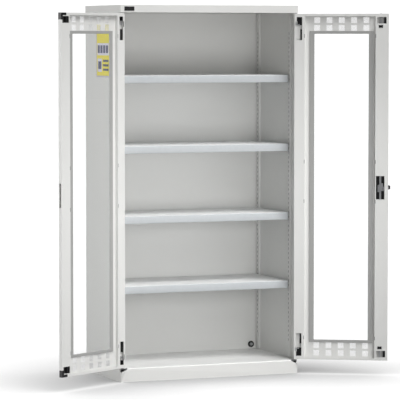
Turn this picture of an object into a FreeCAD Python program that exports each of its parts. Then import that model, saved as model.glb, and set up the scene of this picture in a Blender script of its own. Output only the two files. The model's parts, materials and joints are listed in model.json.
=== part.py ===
import FreeCAD, Part
import math
import os

Vec = FreeCAD.Vector
Z_AXIS = Vec(0, 0, 1)

# Driving dimensions in millimetres and degrees. The origin is the middle of the footprint on the
# floor, +X to the right, +Y to the back, and the doors are shown swung open.
width = 1023.0
depth = 555.0
height = 2000.0
sheet = 1.0
bend = 2.0 * sheet

# Cap and base
cap_height = 40.0
cap_return_front = 30.0
cap_return = 20.0
plinth_height = 74.0
plinth_return = 20.0
plinth_bend = 4.0
corner_cut_width = 38.5
corner_cut_height = 22.0
corner_cut_depth = 14.0
rail_width = 60.0
rail_sheet = 1.5

# Side and back panels
side_front_setback = 24.5
side_return = 9.0

# Slotted posts
post_stand = 9.0
front_post_offset = 82.0
front_post_width = 32.0
rear_post_offset = 8.0
rear_post_width = 38.0
post_end_gap = 2.0
slot_pitch = 25.0
slot_width = 6.0
slot_height = 13.0
slot_first = 100.0

# Shelves
shelf_slots = (11, 26, 41, 56)
shelf_side_gap = 2.5
shelf_front_offset = 92.0
shelf_back_gap = 14.0
shelf_lip = 41.0
shelf_return = 12.0
shelf_corner = 7.0

# Shelf clips
clip_thickness = 2.0
clip_width = 5.6
clip_ledge = 12.0
clip_drop = 10.0
clip_hook = 3.0
clip_hook_height = 9.0

# Doors
door_open_angle = 150.0
door_gap = 4.0
door_meeting_gap = 5.0
door_depth = 20.0
door_lip = 13.0
pivot_inset = 8.0
pivot_depth = 6.0

# Window, pane and glazing frame
window_side = 106.0
window_end = 107.0
pane_overlap_side = 24.0
pane_overlap_end = 13.0
pane_thickness = 3.0
frame_thickness = 2.0

# Vent holes
vent_size = 31.0
vent_pitch = 66.5
vent_columns = 5
vent_rows = (34.5, 76.5)

# Door stiffeners
hinge_stiffener = 57.0
lock_stiffener = 71.0
stiffener_foot = 8.0
hinge_cut_start = 12.5
hinge_cut_width = 29.0
hinge_cut_top = 18.0
hinge_cut_height = 124.0
lever_notch_width = 8.0
lever_notch_height = 28.0
lock_cut_width = 51.0
lock_cut_edge = 11.0
lock_cut_top = 18.0
lock_cut_height = 35.0
guide_cut_width = 23.0

# Hinge pins, guides and bushes
pin_radius = 3.0
pin_reach = 12.0
pin_tail = 4.0
lever_height = 4.0
lever_reach = 20.0
lever_gap = 16.0
fit = 0.05
lip_clearance = 0.6
guide_start = 14.0
guide_width = 14.0
guide_depth = 11.0
guide_length = 26.0
bush_wall = 1.55
bush_flange = 1.3
bush_flange_thickness = 1.5
bush_length = 11.0
hinge_plate_thickness = 3.0
hinge_plate_depth = 40.0
hinge_plate_gap = 0.5

# Lock: a cam on the spindle throws two rods and a latch bar
lock_inset = 42.0
lock_opening_width = 46.0
lock_opening_height = 127.0
crank_radius = 10.0
crank_pin_radius = 2.0
crank_slack = 0.4
cam_width = 21.0
cam_length = 40.0
cam_thickness = 3.5
spindle_side = 6.0
spindle_clearance = 0.5
rod_width = 10.0
rod_thickness = 3.0
rod_depth = 10.0
rod_tip = 2.0
rod_tip_chamfer = 2.0
yoke_arm = 10.3
yoke_wall = 2.9
yoke_head = 9.0
yoke_head_start = 15.0
latch_thickness = 2.0
latch_bar_height = 10.0
latch_tip = 3.0
layer_gap = 0.7
latch_drop = 9.8
latch_prong = 3.1
case_wall = 2.0
case_margin = 1.0
rod_clearance = 0.6
keeper_thickness = 2.0
keeper_margin = 9.0
guide_block_end = 61.0
guide_block_height = 16.0
guide_block_width = 22.0
guide_block_waist = 5.0
guide_block_fit = 0.1

# Handle, its plate and the key cylinder
handle_plate_width = 44.0
handle_plate_height = 150.0
handle_plate_thickness = 8.0
handle_plate_bevel = 3.0
hub_radius = 10.0
handle_gap = 0.5
handle_stand = 20.0
handle_thickness = 18.0
handle_half_length = 51.0
handle_end_half = 9.0
handle_head_half = 18.0
handle_shoulder = 9.0
handle_bevel = 3.0
cylinder_radius = 9.0
cylinder_depth = 12.0
cylinder_proud = 1.5
key_slot_width = 1.6
key_slot_length = 9.0
key_slot_depth = 4.0

# Left door's strike slot and corner blocks
strike_width = 12.0
strike_height = 125.0
block_width = 41.0
block_height = 36.0
block_leg = 14.0
block_proud = 1.0

# Earth terminal on the back wall
earth_inset = 38.5
earth_height = 100.0
earth_ring_radius = 18.0
earth_ring_thickness = 4.0
earth_ring_clearance = 0.4
earth_bolt_radius = 9.0
earth_bolt_height = 8.0

# Places that follow from the driving dimensions
half_width = width / 2
front = -depth / 2
back = depth / 2
cap_bottom = height - cap_height
floor_top = plinth_height
door_bottom = floor_top + door_gap
door_top = cap_bottom - door_gap
door_width = half_width - door_meeting_gap / 2
door_middle = (door_bottom + door_top) / 2
lock_u = door_width - lock_inset
crank_reach = crank_radius * math.sin(math.radians(45))
throw = 2 * crank_reach


def slab(x0, x1, y0, y1, z0, z1):
    return Part.makeBox(x1 - x0, y1 - y0, z1 - z0, Vec(x0, y0, z0))


def outline_xz(points, y0, y1):
    """Prism of an outline in the XZ plane, from y0 to y1."""
    corners = [Vec(x, y0, z) for x, z in points]
    wire = Part.makePolygon(corners + corners[:1])
    return Part.Face(wire).extrude(Vec(0, y1 - y0, 0))


def rod_z(radius, x, y, z0, z1):
    return Part.makeCylinder(radius, z1 - z0, Vec(x, y, z0), Z_AXIS)


def rod_y(radius, x, z, y0, y1):
    return Part.makeCylinder(radius, y1 - y0, Vec(x, y0, z), Vec(0, 1, 0))


def post_z(half_x, half_y, x, y, z0, z1):
    """Upright bar of rectangular section around a centre line."""
    low, high = sorted((z0, z1))
    return slab(x - half_x, x + half_x, y - half_y, y + half_y, low, high)


def hexagon(x, z, radius):
    """Corners of a hexagon in the XZ plane."""
    turns = [math.radians(60 * k) for k in range(6)]
    return [(x + radius * math.cos(turn), z + radius * math.sin(turn)) for turn in turns]


def stadium_xz(x, z, half_x, half_z, y0, y1):
    """Round-ended upright plate around a centre."""
    straight = half_z - half_x
    core = slab(x - half_x, x + half_x, y0, y1, z - straight, z + straight)
    ends = [rod_y(half_x, x, z + s * straight, y0, y1) for s in (-1, 1)]
    return core.multiFuse(ends).removeSplitter()


def edges_where(shape, test):
    """Straight edges whose two end points both pass the test."""
    chosen = []
    for edge in shape.Edges:
        ends = [vertex.Point for vertex in edge.Vertexes]
        if len(ends) == 2 and test(ends[0], ends[1]):
            chosen.append(edge)
    return chosen


def is_upright(a, b):
    return abs(a.x - b.x) < 1e-6 and abs(a.y - b.y) < 1e-6


def rounded(shape, radius, test):
    return shape.makeFillet(radius, edges_where(shape, test))


def mirrored_x(shape):
    return shape.mirror(Vec(0, 0, 0), Vec(1, 0, 0))


def group(solids):
    return Part.makeCompound(solids)


def both_sides(shape):
    """The right-hand piece as given and its left-hand mirror image."""
    return [mirrored_x(shape), shape]


# Hinge pivots and lock-rod places on the closed doors, in the cabinet's frame
pivot_x = half_width - pivot_inset
pivot_y = front + pivot_depth
rod_x_closed = half_width - lock_u
rod_y_closed = front + rod_depth
bush_bore = pin_radius + fit
bush_half = bush_bore + bush_wall
rod_half = rod_width / 2
rod_slot_half = rod_half + rod_clearance
rod_slot_depth = rod_thickness / 2 + rod_clearance


def rod_slot(x, y, z0, z1):
    """Opening that lets a lock rod through a sheet."""
    return post_z(rod_slot_half, rod_slot_depth, x, y, z0, z1)


def top_cap():
    """Roof tray: sheet folded down all round, with returns underneath."""
    tray = slab(-half_width, half_width, front, back, cap_bottom, height)
    tray = rounded(tray, bend, lambda a, b: min(a.z, b.z) > height - sheet / 2)
    hollow = slab(
        -half_width + sheet, half_width - sheet, front + sheet, back - sheet,
        cap_bottom + sheet, height - sheet,
    )
    mouth = slab(
        -half_width + cap_return, half_width - cap_return, front + cap_return_front, back - cap_return,
        cap_bottom, cap_bottom + sheet,
    )
    bush_hole = post_z(bush_half, bush_half, pivot_x, pivot_y, cap_bottom, cap_bottom + sheet)
    rod_hole = rod_slot(rod_x_closed, rod_y_closed, cap_bottom, cap_bottom + sheet)
    return tray.cut(hollow).cut(group([mouth, rod_hole] + both_sides(bush_hole)))


def base_tray():
    """Floor sheet folded down to the plinth faces, its front corners cut off for the lower hinges."""
    tray = slab(-half_width, half_width, front, back, 0, floor_top)
    tray = rounded(
        tray, plinth_bend,
        lambda a, b: max(a.y, b.y) < front + sheet and min(a.z, b.z) > floor_top - sheet / 2,
    )
    hollow = slab(
        -half_width + sheet, half_width - sheet, front + sheet, back - sheet, sheet, floor_top - sheet,
    )
    hollow = rounded(
        hollow, plinth_bend - sheet,
        lambda a, b: max(a.y, b.y) < front + 2 * sheet and min(a.z, b.z) > floor_top - 2 * sheet,
    )
    mouth = slab(
        -half_width + plinth_return, half_width - plinth_return,
        front + plinth_return, back - plinth_return, 0, sheet,
    )
    corner = outline_xz(
        (
            (half_width - corner_cut_width, floor_top),
            (half_width, floor_top),
            (half_width, floor_top - corner_cut_height),
        ),
        front, front + corner_cut_depth,
    )
    rod_hole = rod_slot(rod_x_closed, rod_y_closed, floor_top - sheet, floor_top)
    return tray.cut(hollow).cut(group([mouth, rod_hole] + both_sides(corner)))


def floor_rail():
    """Inverted channel from side to side under the middle of the floor, with its web on the ground."""
    length = half_width - sheet - plinth_return
    top = floor_top - sheet
    channel = slab(-length, length, -rail_width / 2, rail_width / 2, 0, top)
    inside = slab(
        -length, length, -rail_width / 2 + rail_sheet, rail_width / 2 - rail_sheet, rail_sheet, top,
    )
    return channel.cut(inside)


def side_panel():
    """Right side wall with a narrow return at the front, the back, the top and the bottom."""
    side_front = front + side_front_setback
    side_back = back - sheet
    inner = half_width - sheet - side_return
    panel = slab(inner, half_width, side_front, side_back, floor_top, cap_bottom)
    panel = rounded(panel, bend, lambda a, b: is_upright(a, b) and min(a.x, b.x) > half_width - sheet)
    hollow = slab(
        inner, half_width - sheet, side_front + sheet, side_back - sheet,
        floor_top + sheet, cap_bottom - sheet,
    )
    return panel.cut(hollow)


def back_panel():
    return slab(-half_width, half_width, back - sheet, back, floor_top, cap_bottom)


def slot_heights():
    last = cap_bottom - slot_first
    count = int((last - floor_top - slot_first) / slot_pitch) + 1
    return [floor_top + slot_first + k * slot_pitch for k in range(count)]


post_face = half_width - sheet - post_stand
front_post_middle = front + front_post_offset + front_post_width / 2
rear_post_middle = back - sheet - rear_post_offset - rear_post_width / 2


def slotted_post(middle, post_width):
    """Right-hand U-shaped post on the side wall, its face slotted at an even pitch."""
    y0 = middle - post_width / 2
    y1 = middle + post_width / 2
    z0 = floor_top + sheet + post_end_gap
    z1 = cap_bottom - sheet - post_end_gap
    post = slab(post_face, half_width - sheet, y0, y1, z0, z1)
    inside = slab(post_face + sheet, half_width - sheet, y0 + sheet, y1 - sheet, z0, z1)
    slots = [
        slab(
            post_face, post_face + sheet, middle - slot_width / 2, middle + slot_width / 2,
            z - slot_height / 2, z + slot_height / 2,
        )
        for z in slot_heights()
    ]
    return post.cut(inside).cut(group(slots))


shelf_half = post_face - shelf_side_gap
shelf_front = front + shelf_front_offset
shelf_back = back - sheet - shelf_back_gap


def shelf_bottom(slot):
    return slot_heights()[slot] + clip_drop


def shelf(slot):
    """Flat shelf folded down on all sides, with returns under the front and back lips."""
    bottom = shelf_bottom(slot)
    top = bottom + shelf_lip
    tray = slab(-shelf_half, shelf_half, shelf_front, shelf_back, bottom, top)
    tray = rounded(tray, shelf_corner, lambda a, b: is_upright(a, b) and a.y < 0)
    hollow = slab(
        -shelf_half + sheet, shelf_half - sheet, shelf_front + sheet, shelf_back - sheet,
        bottom + sheet, top - sheet,
    )
    inner_corners = edges_where(hollow, lambda a, b: is_upright(a, b) and a.y < 0)
    hollow = hollow.makeChamfer(shelf_corner - sheet, inner_corners)
    mouth = slab(
        -shelf_half + shelf_return, shelf_half - shelf_return,
        shelf_front + shelf_return, shelf_back - shelf_return, bottom, bottom + sheet,
    )
    return tray.cut(hollow).cut(mouth)


def shelf_clip(slot, middle):
    """Right-hand bent clip: a ledge under the shelf, a web on the post and a hook through a slot."""
    y0 = middle - clip_width / 2
    y1 = middle + clip_width / 2
    ledge_top = shelf_bottom(slot)
    slot_z = slot_heights()[slot]
    hook_top = slot_z + clip_hook_height / 2
    hook_bottom = slot_z - clip_hook_height / 2
    inner = post_face - shelf_side_gap - clip_ledge
    ledge = slab(inner, post_face, y0, y1, ledge_top - clip_thickness, ledge_top)
    web = slab(post_face - clip_thickness, post_face, y0, y1, hook_bottom, ledge_top)
    hook = slab(post_face, post_face + clip_hook, y0, y1, hook_bottom, hook_top)
    return ledge.multiFuse([web, hook]).removeSplitter()


def shelf_clips():
    clips = []
    for slot in shelf_slots:
        for middle in (front_post_middle, rear_post_middle):
            clips += both_sides(shelf_clip(slot, middle))
    return group(clips)


def lower_hinge_plate():
    """Right-hand plate in the plinth's cut corner, clear of the plinth's bend; it holds the lower bush."""
    bend_end = corner_cut_width * (1 - plinth_bend / corner_cut_height)
    x0 = half_width - bend_end + hinge_plate_gap
    x1 = half_width - sheet
    y0 = front + sheet
    top = floor_top - sheet
    plate = slab(x0, x1, y0, y0 + hinge_plate_depth, top - hinge_plate_thickness, top)
    return plate.cut(post_z(bush_half, bush_half, pivot_x, pivot_y, top - hinge_plate_thickness, top))


def hinge_bush(z_flange, upward):
    """Square-bodied bush on the right-hand pivot; its flange faces the door."""
    s = 1 if upward else -1
    body_end = z_flange + s * bush_length
    flange_end = z_flange - s * bush_flange_thickness
    flange_half = bush_half + bush_flange
    body = post_z(bush_half, bush_half, pivot_x, pivot_y, z_flange, body_end)
    flange = post_z(flange_half, flange_half, pivot_x, pivot_y, z_flange, flange_end)
    bore = rod_z(bush_bore, pivot_x, pivot_y, min(flange_end, body_end), max(flange_end, body_end))
    return body.fuse(flange).removeSplitter().cut(bore)


def hinge_bushes():
    upper = hinge_bush(cap_bottom, True)
    lower = hinge_bush(floor_top - sheet, False)
    return group(both_sides(upper) + both_sides(lower))


def rod_keeper(z0):
    """Slotted plate on the hidden side of a folded sheet, behind the bend; it takes a lock rod."""
    z1 = z0 + keeper_thickness
    plate = slab(
        rod_x_closed - rod_slot_half - keeper_margin, rod_x_closed + rod_slot_half + keeper_margin,
        front + plinth_bend, rod_y_closed + rod_slot_depth + keeper_margin, z0, z1,
    )
    return plate.cut(rod_slot(rod_x_closed, rod_y_closed, z0, z1))


def rod_keepers():
    return group([rod_keeper(cap_bottom + sheet), rod_keeper(floor_top - sheet - keeper_thickness)])


earth_x = half_width - earth_inset
earth_face = back - sheet


def earth_ring():
    """Round collar on the back wall with a hexagonal opening for the bolt."""
    y0 = earth_face - earth_ring_thickness
    collar = rod_y(earth_ring_radius, earth_x, earth_height, y0, earth_face)
    opening = hexagon(earth_x, earth_height, earth_bolt_radius + earth_ring_clearance)
    return collar.cut(outline_xz(opening, y0, earth_face))


def earth_bolt():
    """Hexagon bolt head on the back wall, standing out of the collar."""
    corners = hexagon(earth_x, earth_height, earth_bolt_radius)
    return outline_xz(corners, earth_face - earth_bolt_height, earth_face)


# Door pieces are drawn closed in the door's own frame: x from the hinge edge, y from the outer face
# and z as in the cabinet. The left door is placed as drawn, the right door as its mirror image.
window_left = window_side
window_right = door_width - window_side
window_low = door_bottom + window_end
window_high = door_top - window_end
stiffener_low = door_bottom + door_lip
stiffener_high = door_top - door_lip
face = door_depth - sheet
hinge_edge = sheet
lock_edge = door_width - sheet
guide_slot_left = lock_u - guide_cut_width / 2
guide_slot_right = lock_u + guide_cut_width / 2


def from_ends(near, tall):
    """Height spans of a cut that repeats at the door's bottom and top end."""
    return (
        (door_bottom + near, door_bottom + near + tall),
        (door_top - near - tall, door_top - near),
    )


def vents():
    """Square vent holes through the skin, two rows above and two rows below the window."""
    holes = []
    first = door_width / 2 - vent_pitch * (vent_columns - 1) / 2
    for row in vent_rows:
        for z in (door_bottom + row, door_top - row):
            for k in range(vent_columns):
                x = first + k * vent_pitch
                holes.append(slab(
                    x - vent_size / 2, x + vent_size / 2, 0, sheet, z - vent_size / 2, z + vent_size / 2,
                ))
    return holes


def end_spans():
    """Heights of the two end walls of the skin."""
    return ((door_bottom, door_bottom + sheet), (door_top - sheet, door_top))


def pin_holes():
    half = pin_radius + lip_clearance
    return [post_z(half, half, pivot_inset, pivot_depth, z0, z1) for z0, z1 in end_spans()]


def door_pan():
    """Outer skin: a pan folded back on four sides, with lips along the top and bottom."""
    pan = slab(0, door_width, 0, door_depth, door_bottom, door_top)
    pan = rounded(pan, bend, lambda a, b: is_upright(a, b) and max(a.y, b.y) < sheet)
    hollow = slab(
        sheet, door_width - sheet, sheet, face, door_bottom + sheet, door_top - sheet,
    )
    mouth = slab(sheet, door_width - sheet, face, door_depth, stiffener_low, stiffener_high)
    window = slab(window_left, window_right, 0, sheet, window_low, window_high)
    return pan.cut(hollow).cut(group([mouth, window] + vents() + pin_holes()))


def left_door_skin():
    strike = slab(
        door_width - sheet, door_width, (door_depth - strike_width) / 2, (door_depth + strike_width) / 2,
        door_middle - strike_height / 2, door_middle + strike_height / 2,
    )
    return door_pan().cut(group([strike] + corner_block_pair()))


def right_door_skin():
    cuts = [rod_slot(lock_u, rod_depth, z0, z1) for z0, z1 in end_spans()]
    cuts.append(latch_slot(door_width - sheet, door_width))
    cuts.append(spindle_hole(0, sheet))
    return door_pan().cut(group(cuts))


def stiffener(x_edge, x_wall, foot_end):
    """Folded stiffener: a face flush with the lips, a wall down to the skin and a foot along it."""
    s = 1 if x_wall > x_edge else -1
    low_x = min(x_edge, x_wall)
    high_x = max(x_edge, x_wall)
    plate = slab(low_x, high_x, face, door_depth, stiffener_low, stiffener_high)
    wall_in = x_wall - s * sheet
    wall = slab(min(wall_in, x_wall), max(wall_in, x_wall), sheet, face, stiffener_low, stiffener_high)
    foot = slab(
        min(x_wall, foot_end), max(x_wall, foot_end), sheet, 2 * sheet, stiffener_low, stiffener_high,
    )
    bar = plate.multiFuse([wall, foot]).removeSplitter()
    return rounded(
        bar, bend,
        lambda a, b: is_upright(a, b) and abs(a.x - x_wall) < 1e-6 and a.y > face,
    )


def hinge_side_stiffener():
    bar = stiffener(hinge_edge, hinge_stiffener, hinge_stiffener + stiffener_foot)
    cuts = []
    for z0, z1 in from_ends(hinge_cut_top, hinge_cut_height):
        cuts.append(slab(
            hinge_cut_start, hinge_cut_start + hinge_cut_width, face, door_depth, z0, z1,
        ))
    for z in lever_heights():
        cuts.append(slab(
            hinge_cut_start - lever_notch_width, hinge_cut_start, face, door_depth,
            z - lever_notch_height / 2, z + lever_notch_height / 2,
        ))
    return bar.cut(group(cuts))


def lock_side_stiffener(cuts):
    bar = stiffener(lock_edge, door_width - lock_stiffener, door_width - lock_stiffener - stiffener_foot)
    right = door_width - lock_cut_edge
    corner_cuts = [
        slab(right - lock_cut_width, right, face, door_depth, z0, z1)
        for z0, z1 in from_ends(lock_cut_top, lock_cut_height)
    ]
    return bar.cut(group(corner_cuts + cuts))


def left_lock_stiffener():
    return lock_side_stiffener(corner_block_pair())


def right_lock_stiffener():
    cuts = [
        slab(guide_slot_left, guide_slot_right, face, door_depth, z0, z1)
        for z0, z1 in from_ends(guide_block_end, guide_block_height)
    ]
    cuts.append(slab(
        lock_u - lock_opening_width / 2, lock_u + lock_opening_width / 2, face, door_depth,
        door_middle - lock_opening_height / 2, door_middle + lock_opening_height / 2,
    ))
    return lock_side_stiffener(cuts)


pane_left = window_left - pane_overlap_side
pane_right = window_right + pane_overlap_side
pane_low = window_low - pane_overlap_end
pane_high = window_high + pane_overlap_end


def window_pane():
    return slab(pane_left, pane_right, sheet, sheet + pane_thickness, pane_low, pane_high)


def glazing_frame():
    """Flat frame that presses the pane's rim against the skin."""
    y0 = sheet + pane_thickness
    y1 = y0 + frame_thickness
    ring = slab(pane_left, pane_right, y0, y1, pane_low, pane_high)
    return ring.cut(slab(window_left, window_right, y0, y1, window_low, window_high))


def block_outline(inside_u, inside_z, sign):
    """Corner block's L-shaped outline, from the free corner at inside_u and inside_z."""
    return (
        (inside_u, inside_z),
        (inside_u - block_width, inside_z),
        (inside_u - block_width, inside_z - sign * block_leg),
        (inside_u - block_leg, inside_z - sign * block_leg),
        (inside_u - block_leg, inside_z - sign * block_height),
        (inside_u, inside_z - sign * block_height),
    )


def corner_block_pair():
    """L-shaped blocks in the free corners; the door's sheets are cut away where they sit."""
    return [
        outline_xz(block_outline(door_width, z, sign), sheet, door_depth + block_proud)
        for z, sign in ((door_bottom, -1), (door_top, 1))
    ]


# Hinge pins: each slides in a guide behind the hinge edge and is drawn back by its lever
lever_drop = guide_start + guide_length + lever_gap + lever_height / 2


def lever_heights():
    return (door_bottom + lever_drop, door_top - lever_drop)


def upper_pin_guide():
    """Bored block on the skin in the upper hinge corner."""
    z1 = door_top - guide_start
    z0 = z1 - guide_length
    block = slab(
        pivot_inset - guide_width / 2, pivot_inset + guide_width / 2, sheet, sheet + guide_depth, z0, z1,
    )
    return block.cut(rod_z(bush_bore, pivot_inset, pivot_depth, z0, z1))


def upper_hinge_pin():
    """Pin that reaches into the cap's bush, with a flat cross lever near its inner end."""
    lever_z = door_top - lever_drop
    pin = rod_z(pin_radius, pivot_inset, pivot_depth, lever_z - pin_tail, door_top + pin_reach)
    lever = slab(
        pivot_inset, pivot_inset + lever_reach,
        pivot_depth - lever_height / 2, pivot_depth + lever_height / 2,
        lever_z - lever_height / 2, lever_z + lever_height / 2,
    )
    return pin.fuse(lever)


def flipped(shape):
    """Turned over about the door's middle height."""
    return shape.mirror(Vec(0, 0, door_middle), Z_AXIS)


def pin_guides():
    return group([upper_pin_guide(), flipped(upper_pin_guide())])


# Lock pieces, drawn unlocked around the spindle
yoke_0 = rod_depth - rod_thickness / 2
yoke_1 = rod_depth + rod_thickness / 2
latch_0 = yoke_1 + layer_gap
latch_1 = latch_0 + latch_thickness
cam_0 = latch_1 + layer_gap
cam_1 = cam_0 + cam_thickness
spindle_half = spindle_side / 2
spindle_room = spindle_half * math.sqrt(2) + spindle_clearance
arm_inner = spindle_room
slot_half = crank_pin_radius + crank_slack
crank_outer = crank_radius + crank_pin_radius + crank_slack


def around_lock(points):
    return [(lock_u + x, door_middle + z) for x, z in points]


def square_at_lock(half, y0, y1):
    return slab(lock_u - half, lock_u + half, y0, y1, door_middle - half, door_middle + half)


def spindle_bar(y0, y1):
    return square_at_lock(spindle_half, y0, y1)


def spindle_hole(y0, y1):
    """Square hole in which the spindle turns freely."""
    return square_at_lock(spindle_room, y0, y1)


def lock_cam():
    """Oval cam plate with three crank pins behind it and the spindle's square bore."""
    plate = stadium_xz(lock_u, door_middle, cam_width / 2, cam_length / 2, cam_0, cam_1)
    reach = crank_reach
    pins = [
        rod_y(crank_pin_radius, lock_u + reach, door_middle - reach, yoke_0, cam_0),
        rod_y(crank_pin_radius, lock_u - reach, door_middle + reach, yoke_0, cam_0),
        rod_y(crank_pin_radius, lock_u - reach, door_middle - reach, latch_0, cam_0),
    ]
    cam = plate.multiFuse(pins)
    return cam.cut(spindle_bar(cam_0, cam_1))


def top_rod():
    """Flat lock rod with a forked yoke round the spindle; a crank pin in the fork lifts it."""
    arm_outer = arm_inner + yoke_arm
    fork_low = -crank_reach - slot_half
    fork_high = -crank_reach + slot_half
    head_top = yoke_head_start + yoke_head
    tip = door_top + rod_tip - door_middle
    outline = around_lock((
        (arm_inner, fork_low - yoke_wall),
        (arm_outer, fork_low - yoke_wall),
        (arm_outer, head_top),
        (rod_half, head_top),
        (rod_half, tip - rod_tip_chamfer),
        (rod_half - rod_tip_chamfer, tip),
        (rod_tip_chamfer - rod_half, tip),
        (-rod_half, tip - rod_tip_chamfer),
        (-rod_half, yoke_head_start),
        (arm_inner, yoke_head_start),
        (arm_inner, fork_high),
        (crank_outer, fork_high),
        (crank_outer, fork_low),
        (arm_inner, fork_low),
    ))
    return outline_xz(outline, yoke_0, yoke_1)


def bottom_rod():
    """The top rod turned half a turn about the spindle."""
    rod = top_rod()
    rod.rotate(Vec(lock_u, 0, door_middle), Vec(0, 1, 0), 180)
    return rod


def latch_bar():
    """Flat latch under the cam: a fork on the third crank pin and a tip at the free edge."""
    fork_left = -crank_reach - slot_half
    fork_right = -crank_reach + slot_half
    fork_top = -arm_inner
    fork_floor = -crank_outer
    bar_top = -latch_drop
    bar_low = fork_floor - latch_bar_height / 2
    riser = crank_outer + layer_gap
    half = latch_bar_height / 2
    tip = lock_inset + latch_tip
    outline = around_lock((
        (fork_left - latch_prong, bar_low),
        (riser + half, bar_low),
        (riser + latch_bar_height, -half),
        (tip, -half),
        (tip, half),
        (riser, half),
        (riser, bar_top),
        (fork_right + latch_prong, bar_top),
        (fork_right + latch_prong, fork_top),
        (fork_right, fork_top),
        (fork_right, fork_floor),
        (fork_left, fork_floor),
        (fork_left, fork_top),
        (fork_left - latch_prong, fork_top),
    ))
    return outline_xz(outline, latch_0, latch_1)


def latch_slot(u0, u1):
    """Opening that lets the latch bar's tip through a wall between u0 and u1."""
    half = latch_bar_height / 2 + rod_clearance
    return slab(
        u0, u1, latch_0 - rod_clearance, latch_1 + rod_clearance, door_middle - half, door_middle + half,
    )


def lock_case():
    """Open case behind the cam: a base plate on the skin and two side walls."""
    half_w = lock_opening_width / 2 - case_margin
    half_h = lock_opening_height / 2 - case_margin
    base = slab(
        lock_u - half_w, lock_u + half_w, sheet, sheet + case_wall,
        door_middle - half_h, door_middle + half_h,
    )
    walls = []
    for x0 in (lock_u - half_w, lock_u + half_w - case_wall):
        walls.append(slab(
            x0, x0 + case_wall, sheet, face - case_margin, door_middle - half_h, door_middle + half_h,
        ))
    case = base.multiFuse(walls).removeSplitter()
    latch_low = -crank_outer - latch_bar_height / 2 - rod_clearance
    latch_high = latch_bar_height / 2 + rod_clearance
    gate = slab(
        lock_u + half_w - case_wall, lock_u + half_w, latch_0 - rod_clearance, face - case_margin,
        door_middle + latch_low, door_middle + latch_high,
    )
    return case.cut(group([gate, spindle_hole(sheet, sheet + case_wall)]))


def upper_rod_guide():
    """Waisted block on the skin that steers a lock rod."""
    z1 = door_top - guide_block_end
    z0 = z1 - guide_block_height
    half = guide_block_width / 2
    middle = (z0 + z1) / 2
    block = outline_xz(
        (
            (lock_u - half, z0),
            (lock_u, middle - guide_block_waist),
            (lock_u + half, z0),
            (lock_u + half, z1),
            (lock_u, middle + guide_block_waist),
            (lock_u - half, z1),
        ),
        sheet, face,
    )
    channel = post_z(
        rod_half + guide_block_fit, rod_thickness / 2 + guide_block_fit, lock_u, rod_depth, z0, z1,
    )
    return block.cut(channel)


def rod_guides():
    return group([upper_rod_guide(), flipped(upper_rod_guide())])


def front_rim(shape, y):
    """Edges of a handle piece that lie in its front face."""
    return [edge for edge in shape.Edges if all(abs(v.Point.y - y) < 1e-6 for v in edge.Vertexes)]


def handle_plate():
    """Oblong bevelled plate on the outer face, bored for the handle's hub."""
    plate = slab(
        lock_u - handle_plate_width / 2, lock_u + handle_plate_width / 2, -handle_plate_thickness, 0,
        door_middle - handle_plate_height / 2, door_middle + handle_plate_height / 2,
    )
    plate = plate.makeChamfer(handle_plate_bevel, front_rim(plate, -handle_plate_thickness))
    return plate.cut(rod_y(hub_radius + fit, lock_u, door_middle, -handle_plate_thickness, 0))


handle_back = -handle_stand
handle_front = -handle_stand - handle_thickness


def wing_grip():
    """Wing grip: broad round the hub and tapered to both ends."""
    quarter = ((handle_half_length, handle_end_half), (handle_shoulder, handle_head_half))
    upper = quarter + tuple((-x, z) for x, z in reversed(quarter))
    lower = tuple((x, -z) for x, z in reversed(upper))
    return outline_xz(around_lock(upper + lower), handle_front, handle_back)


def handle_lever():
    """Wing grip with a round hub that turns in its plate; the key cylinder sits in its middle."""
    grip = wing_grip()
    grip = grip.makeChamfer(handle_bevel, front_rim(grip, handle_front))
    hub = rod_y(hub_radius, lock_u, door_middle, handle_back, -handle_gap)
    bores = [
        spindle_bar(handle_front + cylinder_depth, -handle_gap),
        rod_y(cylinder_radius + fit, lock_u, door_middle, handle_front, handle_front + cylinder_depth),
    ]
    return grip.fuse(hub).cut(group(bores))


def key_cylinder():
    y0 = handle_front - cylinder_proud
    y1 = handle_front + cylinder_depth - handle_gap
    plug = rod_y(cylinder_radius, lock_u, door_middle, y0, y1)
    keyway = slab(
        lock_u - key_slot_width / 2, lock_u + key_slot_width / 2, y0, y0 + key_slot_depth,
        door_middle - key_slot_length / 2, door_middle + key_slot_length / 2,
    )
    return plug.cut(keyway)


def spindle():
    return spindle_bar(handle_front + cylinder_depth, cam_1)


def on_left_door(shape):
    """Swing a piece of the left door from its closed place to the open rest place."""
    shape.translate(Vec(-half_width, front, 0))
    shape.rotate(Vec(-pivot_x, pivot_y, 0), Z_AXIS, -door_open_angle)
    return shape


def on_right_door(shape):
    """Swing the mirror image of a door piece to the right door's open rest place."""
    twin = mirrored_x(shape)
    twin.translate(Vec(half_width, front, 0))
    twin.rotate(Vec(pivot_x, pivot_y, 0), Z_AXIS, door_open_angle)
    return twin


def cabinet_nodes():
    nodes = {
        "top_cap": top_cap(),
        "base_tray": base_tray(),
        "floor_rail": floor_rail(),
        "left_side_panel": mirrored_x(side_panel()),
        "right_side_panel": side_panel(),
        "back_panel": back_panel(),
        "shelf_clips": shelf_clips(),
        "lower_hinge_plates": group(both_sides(lower_hinge_plate())),
        "hinge_bushes": hinge_bushes(),
        "rod_keepers": rod_keepers(),
        "earth_ring": earth_ring(),
        "earth_bolt": earth_bolt(),
    }
    front_post = slotted_post(front_post_middle, front_post_width)
    rear_post = slotted_post(rear_post_middle, rear_post_width)
    for name, post in (("front_post", front_post), ("rear_post", rear_post)):
        nodes["left_" + name] = mirrored_x(post)
        nodes["right_" + name] = post
    for number, slot in enumerate(shelf_slots, start=1):
        nodes["shelf_%d" % number] = shelf(slot)
    return nodes


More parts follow.
